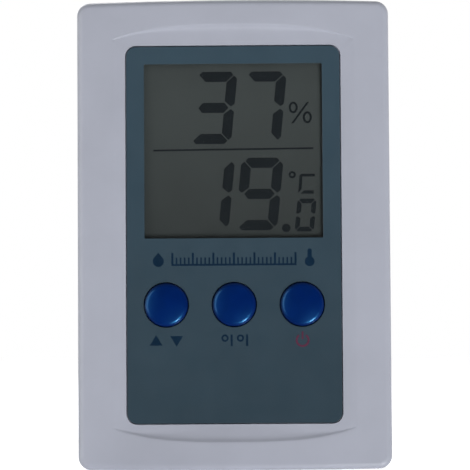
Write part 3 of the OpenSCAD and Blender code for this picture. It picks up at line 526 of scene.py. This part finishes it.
def layCrownedFace(shape, pocketEdge, outerEdge):
    reach = shape.verts.layers.float.new("reach")
    inner = shape.verts.layers.float_vector.new("inner")
    outer = shape.verts.layers.float_vector.new("outer")
    pocketVerts = {vert for edge in pocketEdge for vert in edge.verts}
    radials = list(bmesh.ops.bridge_loops(shape, edges=pocketEdge + outerEdge)["edges"])
    for edge in radials:
        near, far = edge.verts if edge.verts[0] in pocketVerts else reversed(edge.verts)
        for vert in (near, far):
            vert[inner], vert[outer] = near.co, far.co
        near[reach], far[reach] = 0, 1
    rows = meshing["recessRows"] + meshing["crownRows"]
    cut = bmesh.ops.subdivide_edges(shape, edges=radials, cuts=rows - 1)
    fresh = {item for item in cut["geom_inner"] if isinstance(item, bmesh.types.BMVert)}
    for vert in fresh:
        start, way = vert[inner].copy(), vert[outer] - vert[inner]
        lip = lipPlace(start, way)
        t = rowPlace(round(vert[reach] * rows), lip)
        step = meshing["probe"] / way.length
        drop = overlapAt(start, way, lip - step) - overlapAt(start, way, lip + step)
        width = housing["lipRound"] * drop / (2 * step * way.length)
        lift = softened(abs(overlapAt(start, way, t)), width)
        spot = start + way * t
        vert.co = (spot.x, frontLow.y + max(recessDepth(spot.x, spot.z), crownDepth(spot.x)) + lift, spot.z)


def clearOuterFaces(shape, isOuter):
    outside = [face for face in shape.faces if isOuter(face, face.calc_center_median())]
    bmesh.ops.delete(shape, geom=outside, context="FACES")
    return [edge for edge in shape.edges if len(edge.link_faces) == 1]


def onFrontSkin(face, centre):
    inset = edgeDistance(centre.x, centre.z)
    deepest = max(vert.co.y for vert in face.verts) - frontLow.y
    shallow = deepest < housing["recessDepth"] + skinLimits["floorSlack"] or inset < skinLimits["faceReach"]
    return face.normal.y < -skinLimits["facing"] and shallow or inset < skinLimits["sideReach"]


def onRearSkin(face, centre):
    inset = edgeDistance(centre.x, centre.z)
    rounded = rearHigh.y - centre.y < housing["backEdge"] and inset < housing["backEdge"]
    return inset < skinLimits["sideReach"] or rounded and abs(face.normal.y) < skinLimits["flat"]


def edgeArc(radius):
    turns = [math.pi / 2 * i / meshing["edgeSteps"] for i in range(meshing["edgeSteps"] + 1)]
    return [(radius * (1 - math.cos(a)), radius * (1 - math.sin(a))) for a in turns]  # inset, depth


def settleFoot(shape):
    for vert in shape.verts:
        vert.co.z = max(vert.co.z, 0)


def joinRims(shape, rims, loops):  # fills between the CAD's open edges and the new skin's
    for loop in loops:
        depth = sum(vert.co.y for edge in loop for vert in edge.verts) / len(loop) / 2
        near = [edge for edge in rims
                if all(abs(vert.co.y - depth) < skinLimits["rimSlack"] for vert in edge.verts)]
        bmesh.ops.triangle_fill(shape, edges=near + list(loop), use_beauty=True, normal=(0, 1, 0))
        print("rim of", len(near), "edges meets", len(loop))


def makeFrontHousing():
    shape = mergedShape("front_housing")
    rims = clearOuterFaces(shape, onFrontSkin)
    split, bevel = housing["splitDepth"], housing["partingBevel"]
    pocket = roundedLoop(shape, *pocketHalf, housing["pocketCorner"], pocketZ, 0,
                         lambda x: housing["recessDepth"])
    arcs = reversed(edgeArc(housing["frontEdge"]))
    loops = [outlineLoop(shape, inset, lambda x: down + crownDepth(x)) for inset, down in arcs]
    loops.append(outlineLoop(shape, 0, lambda x: split - bevel))
    loops.append(outlineLoop(shape, bevel, lambda x: split))
    bridgeAll(shape, loops)
    layCrownedFace(shape, pocket, loops[0])
    settleFoot(shape)
    joinRims(shape, rims, (pocket, loops[-1]))
    dressNode("front_housing", shape)


def makeRearHousing():
    shape = mergedShape("rear_housing")
    rims = clearOuterFaces(shape, onRearSkin)
    split, bevel, back = housing["splitDepth"], housing["partingBevel"], rearHigh.y - frontLow.y
    arcs = edgeArc(housing["backEdge"] - housing["seam"])
    loops = [outlineLoop(shape, bevel, lambda x: split), outlineLoop(shape, 0, lambda x: split + bevel)]
    loops += [outlineLoop(shape, inset, lambda x: back - down) for inset, down in arcs]
    bridgeAll(shape, loops)
    settleFoot(shape)
    joinRims(shape, rims, (loops[0], loops[-1]))
    dressNode("rear_housing", shape, housing["rearRounding"])


makeFrontHousing()
makeRearHousing()
print("housing skins laid")


# Fascia, door and leg: the CAD shapes with rounded edges

roundedEdges = {"battery_door": 0.15 * mm, "stand_leg": 0.20 * mm, "fascia_panel": 0.07 * mm}
for node, width in roundedEdges.items():
    dressNode(node, mergedShape(node), width)
print("fascia, door and leg made")


# Buttons: a spun cap with a domed top, a rounded rim, a flange and a stem

buttonCap = {"radius": 5.1 * mm, "rimRadius": 1.3 * mm, "domeRadius": 14.8 * mm, "wall": 1.2 * mm,
             "roof": 3.1 * mm, "flangeTop": 3.85 * mm, "flangeThickness": 0.8 * mm, "stemRadius": 1.75 * mm,
             "steps": 96, "edgeSteps": 12, "sharpAngle": 50}


def capOutline():
    radius, dome, rim = buttonCap["radius"], buttonCap["domeRadius"], buttonCap["rimRadius"]
    steps, rimCentre = buttonCap["edgeSteps"], radius - rim
    tilt = math.asin(rimCentre / (dome - rim))
    turns = [tilt * i / steps for i in range(steps + 1)]
    outline = [(dome * math.sin(a), dome * (1 - math.cos(a))) for a in turns]
    rimDepth = outline[-1][1] + rim * math.cos(tilt)
    turns = [tilt + (math.pi / 2 - tilt) * i / steps for i in range(1, steps + 1)]
    return outline + [(rimCentre + rim * math.sin(a), rimDepth - rim * math.cos(a)) for a in turns]


def makeButton(node):
    low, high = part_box(node)
    centre = Vector(((low.x + high.x) / 2, low.y, (low.z + high.z) / 2))
    radius, inside = buttonCap["radius"], buttonCap["radius"] - buttonCap["wall"]
    flange, stem, end = (high.x - low.x) / 2, buttonCap["stemRadius"], high.y - low.y
    top, bottom = buttonCap["flangeTop"], buttonCap["flangeTop"] + buttonCap["flangeThickness"]
    outline = capOutline() + [(radius, top), (flange, top), (flange, bottom), (inside, bottom),
                              (inside, buttonCap["roof"]), (stem, buttonCap["roof"]), (stem, end), (0, end)]
    shape = bmesh.new()
    points = [shape.verts.new((centre.x + across, centre.y + down, centre.z)) for across, down in outline]
    edges = [shape.edges.new(pair) for pair in zip(points, points[1:])]
    bmesh.ops.spin(shape, geom=points + edges, cent=centre, axis=(0, 1, 0), angle=2 * math.pi,
                   steps=buttonCap["steps"], use_merge=True)
    bmesh.ops.remove_doubles(shape, verts=shape.verts, dist=cleaning["poleDistance"])
    piece = finishPiece(node + "Cap", shape, finishes["button_blue"], bodyOf[node],
                        buttonCap["sharpAngle"])
    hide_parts(node)


for key in ("max_min", "units", "power"):
    makeButton("button_" + key)
print("buttons made")


# Display: seven-segment figures and signs on the film, in millimetres from its middle

filmLow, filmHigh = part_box("lcd_front_polarizer")
displayMiddle = ((filmLow.x + filmHigh.x) / 2, (filmLow.z + filmHigh.z) / 2)
segments = {"depth": filmLow.y, "thickness": 0.03 * mm, "slant": math.tan(math.radians(5.6)),
            "color": (0.0125, 0.0165, 0.0200), "roughness": (0.45, 0.55), "spread": 0.1}
bigDigit = {"width": 9.9, "height": 17.05, "stroke": 2.4, "chamfer": 1.65, "gap": 0.22,
            "tip": 0.8, "tipLift": 0.30, "edgeLift": 0.95, "innerLift": 1.52, "middleTip": 1.4}
smallDigit = {"width": 4.5, "height": 7.7, "stroke": 1.1, "chamfer": 0.75, "gap": 0.16,
              "tip": 0.4, "tipLift": 0.28, "edgeLift": 0.5, "innerLift": 0.75, "middleTip": 0.7}
litSegments = {"0": "abcdef", "1": "bc", "3": "abcdg", "7": "abc", "9": "abcdfg"}
figures = (("3", bigDigit, -8.75, 18.75), ("7", bigDigit, 2.85, 18.75), ("1", bigDigit, -9.45, -1.6),
           ("9", bigDigit, 1.95, -1.6), ("0", smallDigit, 15.0, -11.3))  # figure, size, left, top
percentSign = {"rings": ((14.15, 10.2, 1.08, 1.38, 0.52), (17.45, 7.85, 1.08, 1.42, 0.52)),
               "stroke": [(13.62, 6.45), (14.22, 6.45), (17.9, 11.45), (17.3, 11.45)]}
degreeSign = {"ring": (13.8, -5.65, 0.85, 0.85, 0.5),
              "arm": [(15.15, -10.0), (15.5, -5.9), (15.95, -5.45), (19.1, -5.45), (19.1, -6.1), (16.2, -6.1),
                      (16.0, -9.0)],
              "foot": [(15.7, -10.15), (16.55, -9.35), (18.8, -9.35), (18.8, -10.15)]}
decimalPoint = {"x": 12.3, "z": -18.15, "radius": 1.0}
dividingLine = [(-18.8, 0.05), (18.8, 0.35), (18.8, 0.77), (-18.8, 0.47)]


def segmentShapes(size):
    w, h, t, c = size["width"], size["height"], size["stroke"], size["chamfer"]
    mid = h / 2
    k = size["gap"] / 2 / math.sqrt(2)
    g = size["gap"] / math.sqrt(2)
    top = [(c / 2 + k, h - c / 2 + k), (c, h), (w - c, h), (w - c / 2 - k, h - c / 2 + k), (w - t - g, h - t),
           (t + g, h - t)]
    upperLeft = [(c / 2 - k, h - c / 2 - k), (t, h - t - g), (t, mid + size["innerLift"]),
                 (size["tip"], mid + size["tipLift"]), (0, mid + size["edgeLift"]), (0, h - c)]
    middle = [(size["middleTip"], mid), (t, mid + t / 2), (w - t, mid + t / 2), (w - size["middleTip"], mid),
              (w - t, mid - t / 2), (t, mid - t / 2)]
    upperRight = [(w - x, z) for x, z in upperLeft]
    return {"a": top, "d": [(x, h - z) for x, z in top], "f": upperLeft, "b": upperRight,
            "e": [(x, h - z) for x, z in upperLeft], "c": [(x, h - z) for x, z in upperRight], "g": middle}


def onDisplay(points):
    return [(x * mm + displayMiddle[0], z * mm + displayMiddle[1]) for x, z in points]


def addFlat(shape, points):
    addPolygon(shape, onDisplay(points), segments["depth"], segments["thickness"])


def addDigit(shape, figure, size, left, top):
    outlines = segmentShapes(size)
    for segment in litSegments[figure]:
        addFlat(shape, [(left + x + (z - size["height"]) * segments["slant"], top - size["height"] + z)
                        for x, z in outlines[segment]])


def addRing(shape, cx, cz, rx, rz, stroke):
    outer = onDisplay(ringPoints(cx, cz, rx, rz))
    inner = onDisplay(ringPoints(cx, cz, rx - stroke, rz - stroke))
    addBand(shape, outer, inner, segments["depth"], segments["thickness"])


def makeDisplayFigures():
    shape = bmesh.new()
    for figure in figures:
        addDigit(shape, *figure)
    for ring in (*percentSign["rings"], degreeSign["ring"]):
        addRing(shape, *ring)
    for points in (percentSign["stroke"], degreeSign["arm"], degreeSign["foot"], dividingLine):
        addFlat(shape, points)
    radius = decimalPoint["radius"]
    addFlat(shape, ringPoints(decimalPoint["x"], decimalPoint["z"], radius, radius))
    ink = makePlainMaterial("segmentInk", segments["color"], segments["roughness"], spread=segments["spread"],
                            depth=0.0, **{"Specular IOR Level": 0.1})
    finishPiece("displayFigures", shape, ink, "case")


makeDisplayFigures()
print("display figures made")


# Printing on the fascia: a scale rule between a drop and a thermometer, and a sign under each button

fasciaMiddle = (fasciaLow.x + fasciaHigh.x) / 2
printing = {"depth": fasciaLow.y, "thickness": 0.012 * mm, "roughness": (0.3, 0.4), "grain": 0.001,
            "spread": 0.12, "navy": (0.0015, 0.0165, 0.0400), "crimson": (0.105, 0.020, 0.052),
            "titleZ": 49.2, "signZ": 30.2}
dropSign = {"x": -17.7, "down": 0.4, "radius": 1.3, "tip": 1.55, "shoulder": 35, "turn": -250, "steps": 22}
thermometer = {"x": 17.7, "down": 0.6, "bulb": 1.15, "stem": 0.5, "height": 2.5, "tipSteps": 10}
scaleRule = {"half": 14.4, "overhang": 0.2, "low": -1.5, "high": -1.05, "marks": 31, "pitch": 0.96,
             "longEvery": 5, "longMark": (0.24, 2.6), "shortMark": (0.19, 1.5)}
arrowSigns = {"half": 1.5, "base": 1.1, "tip": 1.35, "upX": -18.3, "downX": -13.5}
barSigns = {"places": (-1.9, 1.7), "ringX": -0.3, "ringZ": 0.55, "radius": 0.85, "stroke": 0.42,
            "barX": 1.25, "bar": (0.24, 1.3, 1.4)}  # half width, below, above
powerMark = {"radius": 1.6, "stroke": 0.42, "start": 125, "turn": 290, "bar": (0.21, 0.2, 2.0)}


def onFascia(points, x, z):
    return [((x + px) * mm + fasciaMiddle, (z + pz) * mm) for px, pz in points]


def addPrint(shape, points, x, z):
    addPolygon(shape, onFascia(points, x, z), printing["depth"], printing["thickness"])


def addBlock(shape, low, high, x, z):
    addPrint(shape, [low, (high[0], low[1]), high, (low[0], high[1])], x, z)


def addPrintRing(shape, radius, stroke, x, z, start=0.0, turn=360.0):
    outer, inner = (onFascia(ringPoints(0, 0, size, size, start=start, turn=turn), x, z)
                    for size in (radius, radius - stroke))
    addBand(shape, outer, inner, printing["depth"], printing["thickness"], closed=turn >= 360)


def makeInk(name, color):
    return makePlainMaterial(name, color, printing["roughness"], printing["grain"], printing["spread"], 0.0)


def addDrop(shape):
    size = dropSign["radius"]
    outline = [(0, size * dropSign["tip"])]
    outline += ringPoints(0, 0, size, size, dropSign["steps"], dropSign["shoulder"], dropSign["turn"])
    addPrint(shape, outline, dropSign["x"], printing["titleZ"] - dropSign["down"])


def addThermometer(shape):
    bulb, stem = thermometer["bulb"], thermometer["stem"]
    shoulder = math.degrees(math.asin(stem / bulb))
    outline = ringPoints(0, 0, bulb, bulb, start=90 + shoulder, turn=360 - 2 * shoulder)
    outline += ringPoints(0, thermometer["height"], stem, stem, thermometer["tipSteps"], 0, 180)
    addPrint(shape, outline, thermometer["x"], printing["titleZ"] - thermometer["down"])


def addScaleRule(shape):
    reach, low, high = scaleRule["half"] + scaleRule["overhang"], scaleRule["low"], scaleRule["high"]
    addBlock(shape, (-reach, low), (reach, high), 0, printing["titleZ"])
    for i in range(scaleRule["marks"]):
        wide, tall = scaleRule["shortMark"] if i % scaleRule["longEvery"] else scaleRule["longMark"]
        addBlock(shape, (-wide, high), (wide, tall + high), i * scaleRule["pitch"] - scaleRule["half"],
                 printing["titleZ"])


def addArrows(shape):
    half, base, tip = arrowSigns["half"], arrowSigns["base"], arrowSigns["tip"]
    addPrint(shape, [(-half, -base), (half, -base), (0, tip)], arrowSigns["upX"], printing["signZ"])
    addPrint(shape, [(-half, base), (0, -tip), (half, base)], arrowSigns["downX"], printing["signZ"])


def addBars(shape):
    wide, below, above = barSigns["bar"]
    for x in barSigns["places"]:
        addPrintRing(shape, barSigns["radius"], barSigns["stroke"], x + barSigns["ringX"],
                     printing["signZ"] + barSigns["ringZ"])
        addBlock(shape, (-wide, -below), (wide, above), x + barSigns["barX"], printing["signZ"])


def makeNavyPrint():
    shape = bmesh.new()
    for addSign in (addDrop, addThermometer, addScaleRule, addArrows, addBars):
        addSign(shape)
    finishPiece("fasciaPrint", shape, makeInk("navyInk", printing["navy"]), "case")


def makePowerSign():
    shape = bmesh.new()
    low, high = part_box("button_power")
    x = (low.x + high.x) / 2 / mm
    wide, bottom, top = powerMark["bar"]
    addPrintRing(shape, powerMark["radius"], powerMark["stroke"], x, printing["signZ"], powerMark["start"],
                 powerMark["turn"])
    addBlock(shape, (-wide, bottom), (wide, top), x, printing["signZ"])
    finishPiece("powerSign", shape, makeInk("crimsonInk", printing["crimson"]), "case")


makeNavyPrint()
makePowerSign()
print("fascia printing made")


# Studio: pale floor, soft lamps and a white background

studio = {"backdrop": 1.0, "ambientFront": 0.15, "ambientRear": 0.70, "ambientTurn": (-0.4, 0.2),
          "ceiling": 0.20, "mirroredFront": 0.0, "mirroredTurn": (-0.25, 0.35),
          "floorColor": (0.78, 0.78, 0.79), "floorRoughness": 0.9, "floorGlow": 0.78, "floorHalf": 4}
lamps = {
    "keySoft": {"place": (0.52, -1.15, -0.72), "size": (0.60, 0.60), "power": 18.0, "glossy": False},
    "topSoft": {"place": (0.36, -0.95, 0.92), "size": (0.50, 0.50), "power": 2.5, "glossy": False},
    "sparkle": {"place": (0.45, -0.54, -0.63), "size": (0.20, 0.32), "power": 7.0, "roll": 38,
                "diffuse": False},
    "leftSoft": {"place": (-0.75, -0.48, 0.20), "size": (0.60, 1.0), "power": 4.6, "diffuse": False},
    "sideSoft": {"place": (-0.90, 0.12, 0.10), "size": (0.40, 0.60), "power": 2.2},
    "rearSoft": {"place": (-0.35, 0.75, 0.95), "size": (0.5, 0.5), "power": 7.0},
}


def makeLamps():
    aim = Vector((0, 0, (cadBox[0].z + cadBox[1].z) / 2))
    for name, lamp in lamps.items():
        light = bpy.data.lights.new(name, "AREA")
        light.shape = "RECTANGLE"
        light.size, light.size_y = lamp["size"]
        light.energy = lamp["power"]
        holder = newObject(name, light)
        holder.location = lamp["place"]
        facing = (aim - holder.location).to_track_quat("-Z", "Y").to_matrix()
        roll = Matrix.Rotation(math.radians(lamp.get("roll", 0)), 3, "Z")
        holder.rotation_euler = (facing @ roll).to_euler()
        holder.visible_camera = False
        holder.visible_glossy = lamp.get("glossy", True)
        holder.visible_diffuse = lamp.get("diffuse", True)


def grade(tree, source, start, end, low, high):
    ramp = tree.nodes.new("ShaderNodeMapRange")
    for socket, value in (("From Min", start), ("From Max", end), ("To Min", low), ("To Max", high)):
        if isinstance(value, float):
            ramp.inputs[socket].default_value = value
        else:
            tree.links.new(value, ramp.inputs[socket])
    tree.links.new(source, ramp.inputs["Value"])
    return ramp.outputs["Result"]


def makeWorld():
    world = bpy.data.worlds.new("studio")
    bpy.context.scene.world = world
    world.use_nodes = True
    tree = world.node_tree
    background = tree.nodes["Background"]
    background.inputs["Color"].default_value = (1, 1, 1, 1)
    direction = tree.nodes.new("ShaderNodeTexCoord")
    parts = tree.nodes.new("ShaderNodeSeparateXYZ")
    tree.links.new(direction.outputs["Generated"], parts.inputs[0])
    facing, upward = parts.outputs["Y"], parts.outputs["Z"]
    ambient = grade(tree, facing, *studio["ambientTurn"], studio["ambientFront"], studio["ambientRear"])
    room = grade(tree, upward, 0.0, 1.0, ambient, studio["ceiling"])
    mirrored = grade(tree, facing, *studio["mirroredTurn"], studio["mirroredFront"], studio["backdrop"])
    light = tree.nodes.new("ShaderNodeLightPath")
    strength = grade(tree, light.outputs["Is Glossy Ray"], 0.0, 1.0, room, mirrored)
    for kind in ("Is Transmission Ray", "Is Camera Ray"):
        strength = grade(tree, light.outputs[kind], 0.0, 1.0, strength, studio["backdrop"])
    tree.links.new(strength, background.inputs["Strength"])


def makeFloor():
    shape = bmesh.new()
    bmesh.ops.create_grid(shape, x_segments=1, y_segments=1, size=studio["floorHalf"])
    mesh = bpy.data.meshes.new("floor")
    shape.to_mesh(mesh)
    shape.free()
    floor = newObject("floor", mesh)
    material = newMaterial("floorPaper", studio["floorColor"], studio["floorRoughness"],
                           **{"Specular IOR Level": 0.0})
    paper = shaderOf(material).outputs[0]
    glow = addNode(material, "Emission", {"Color": (1, 1, 1, 1), "Strength": studio["floorGlow"]})
    lit = addNode(material, "AddShader", links={0: paper, 1: glow.outputs[0]})
    seen = addNode(material, "LightPath").outputs["Is Camera Ray"]
    mixed = addNode(material, "MixShader", links={0: seen, 1: paper, 2: lit.outputs[0]})
    output = material.node_tree.nodes["Material Output"]
    material.node_tree.links.new(mixed.outputs[0], output.inputs["Surface"])
    mesh.materials.append(material)
    floor.visible_shadow = False
    floor.visible_glossy = False


# Camera, looking at the front from slightly below its middle

view = {"distance": 0.52, "azimuth": 0.5, "elevation": -2.8, "roll": 0.37, "frameHeight": 0.10962,
        "aimX": 0.0003, "aimZ": 0.05477, "sensor": 36, "nearest": 0.01, "farthest": 20}


def makeCamera():
    azimuth, elevation = math.radians(view["azimuth"]), math.radians(view["elevation"])
    back = Vector((math.sin(azimuth) * math.cos(elevation), -math.cos(azimuth) * math.cos(elevation),
                   math.sin(elevation)))
    target = Vector((view["aimX"], cadBox[0].y, view["aimZ"]))
    data = bpy.data.cameras.new("camera")
    data.sensor_width = view["sensor"]
    data.lens = view["sensor"] * view["distance"] / view["frameHeight"]
    data.clip_start, data.clip_end = view["nearest"], view["farthest"]
    camera = newObject("camera", data)
    camera.rotation_mode = "QUATERNION"
    camera.location = target + back * view["distance"]
    roll = Matrix.Rotation(math.radians(-view["roll"]), 3, "Z").to_quaternion()
    camera.rotation_quaternion = (-back).to_track_quat("-Z", "Y") @ roll
    bpy.context.scene.camera = camera


makeLamps()
makeWorld()
makeFloor()
makeCamera()
bpy.context.scene.view_settings.view_transform = "Standard"
print("studio and camera set")
